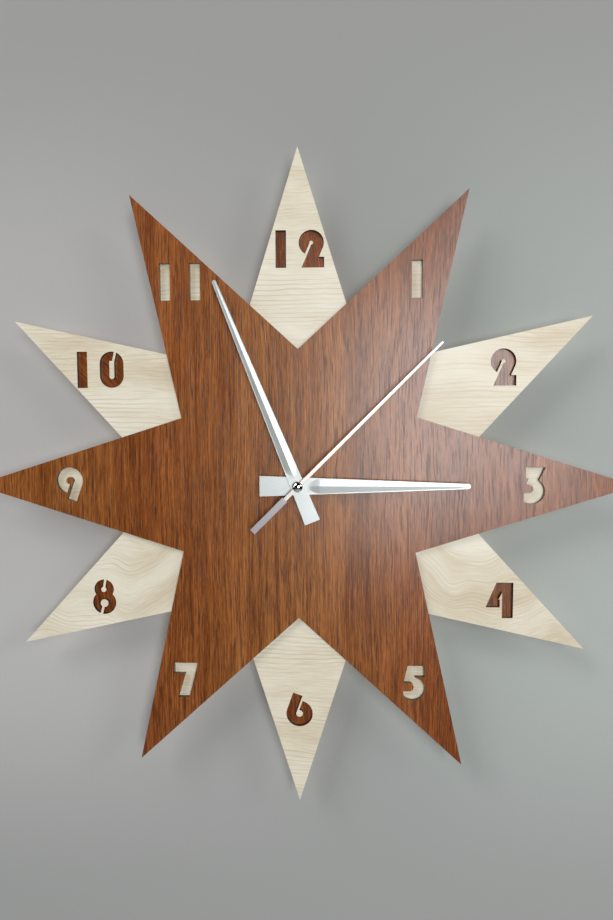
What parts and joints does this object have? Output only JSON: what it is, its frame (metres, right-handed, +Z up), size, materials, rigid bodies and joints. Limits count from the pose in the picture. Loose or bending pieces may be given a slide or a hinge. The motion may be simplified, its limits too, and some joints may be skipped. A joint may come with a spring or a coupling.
{
  "type": "wall clock",
  "caption": "Sunburst wall clock: a dark star over a pale star with cut-out stencil numerals, tapered metal hands and a battery quartz movement behind.",
  "frame": {"origin": "middle of the hanging hole in the movement's hanger tab, on the wall's plane", "axes": "+Y into the wall, -Y out of the clock's front, +X to the viewer's right, +Z up towards twelve o'clock; the hand axis is parallel to Y, 32.2 mm below the origin"},
  "size_m": [0.45, 0.0358, 0.45],
  "materials": {
    "walnut": "satin walnut laminate on thin board, fine straight grain",
    "maple": "satin maple laminate on thin board, faint figure",
    "rubber": "soft black rubber",
    "steel": "plain bright steel",
    "brass": "bright brass",
    "black_plastic": "black moulded plastic, finely textured",
    "white_plastic": "white moulded acetal",
    "battery_jacket": null,
    "circuit_board": "green circuit board",
    "chip_resin": "black resin",
    "crystal_can": "drawn metal can",
    "bobbin_plastic": "blue moulded plastic",
    "copper_wire": "enamelled copper wire",
    "magnet": "dark sintered magnet",
    "hand_aluminium": "brushed aluminium with a pressed ridge",
    "polished_cap": "polished"
  },
  "bodies": {
    "clock": {"walnut_star": "walnut", "maple_star": "maple", "maple_backing_1": "maple", "maple_backing_3": "maple", "maple_backing_5": "maple", "maple_backing_7": "maple", "maple_backing_9": "maple", "maple_backing_11": "maple", "walnut_backing_12": "walnut", "walnut_backing_2": "walnut", "walnut_backing_4": "walnut", "walnut_backing_6": "walnut", "walnut_backing_8": "walnut", "walnut_backing_10": "walnut", "dial_gasket": "rubber", "post_washer": "steel", "hex_nut": "brass", "threaded_post": "brass", "movement_case": "black_plastic", "movement_cover": "black_plastic", "gear_plate": "white_plastic", "battery": "battery_jacket", "positive_contact": "brass", "negative_contact": "brass", "circuit_board": "circuit_board", "clock_chip": "chip_resin", "quartz_crystal": "crystal_can", "coil_core": "steel", "coil_bobbin": "bobbin_plastic", "coil_winding": "copper_wire", "coil_leads": "copper_wire", "stator": "steel"},
    "rotor": {"rotor_magnet": "magnet", "rotor_arbor": "white_plastic"},
    "intermediate": {"intermediate_wheel": "white_plastic"},
    "second": {"second_wheel": "white_plastic", "second_tube": "steel", "second_hand": "hand_aluminium", "second_cap": "polished_cap"},
    "third": {"third_wheel": "white_plastic"},
    "minute": {"centre_wheel": "white_plastic", "minute_collar": "hand_aluminium", "minute_hand": "hand_aluminium"},
    "motion_work": {"motion_wheel": "white_plastic"},
    "hour": {"hour_wheel": "white_plastic", "hour_collar": "hand_aluminium", "hour_hand": "hand_aluminium"},
    "knob": {"setting_knob": "black_plastic"}
  },
  "joints": [
    {"name": "second_hand_turn", "type": "hinge", "parent": "clock", "child": "second", "pos_m": [0, 0, -0.03221], "axis": [0, 1, 0], "continuous": true},
    {"name": "minute_hand_turn", "type": "hinge", "parent": "clock", "child": "minute", "pos_m": [0, 0, -0.03221], "axis": [0, 1, 0], "continuous": true},
    {"name": "hour_hand_turn", "type": "hinge", "parent": "clock", "child": "hour", "pos_m": [0, 0, -0.03221], "axis": [0, 1, 0], "continuous": true},
    {"name": "rotor_turn", "type": "hinge", "parent": "clock", "child": "rotor", "pos_m": [0.01131, 0, -0.0209], "axis": [0, 1, 0], "continuous": true},
    {"name": "intermediate_turn", "type": "hinge", "parent": "clock", "child": "intermediate", "pos_m": [0.00636, 0, -0.02585], "axis": [0, 1, 0], "continuous": true},
    {"name": "third_turn", "type": "hinge", "parent": "clock", "child": "third", "pos_m": [-0.0085, 0, -0.03221], "axis": [0, 1, 0], "continuous": true},
    {"name": "motion_work_turn", "type": "hinge", "parent": "clock", "child": "motion_work", "pos_m": [-0.00308, 0, -0.02376], "axis": [0, 1, 0], "continuous": true},
    {"name": "setting_knob_turn", "type": "hinge", "parent": "clock", "child": "knob", "pos_m": [-0.01208, 0, -0.02376], "axis": [0, 1, 0], "continuous": true}
  ],
  "couplings": [
    {"joint": "minute_hand_turn", "follows": "second_hand_turn", "ratio": 0.016667},
    {"joint": "hour_hand_turn", "follows": "second_hand_turn", "ratio": 0.0013889},
    {"joint": "rotor_turn", "follows": "second_hand_turn", "ratio": 30},
    {"joint": "intermediate_turn", "follows": "second_hand_turn", "ratio": -5},
    {"joint": "third_turn", "follows": "second_hand_turn", "ratio": -0.13333},
    {"joint": "motion_work_turn", "follows": "second_hand_turn", "ratio": -0.0055556},
    {"joint": "setting_knob_turn", "follows": "second_hand_turn", "ratio": 0.016667}
  ]
}
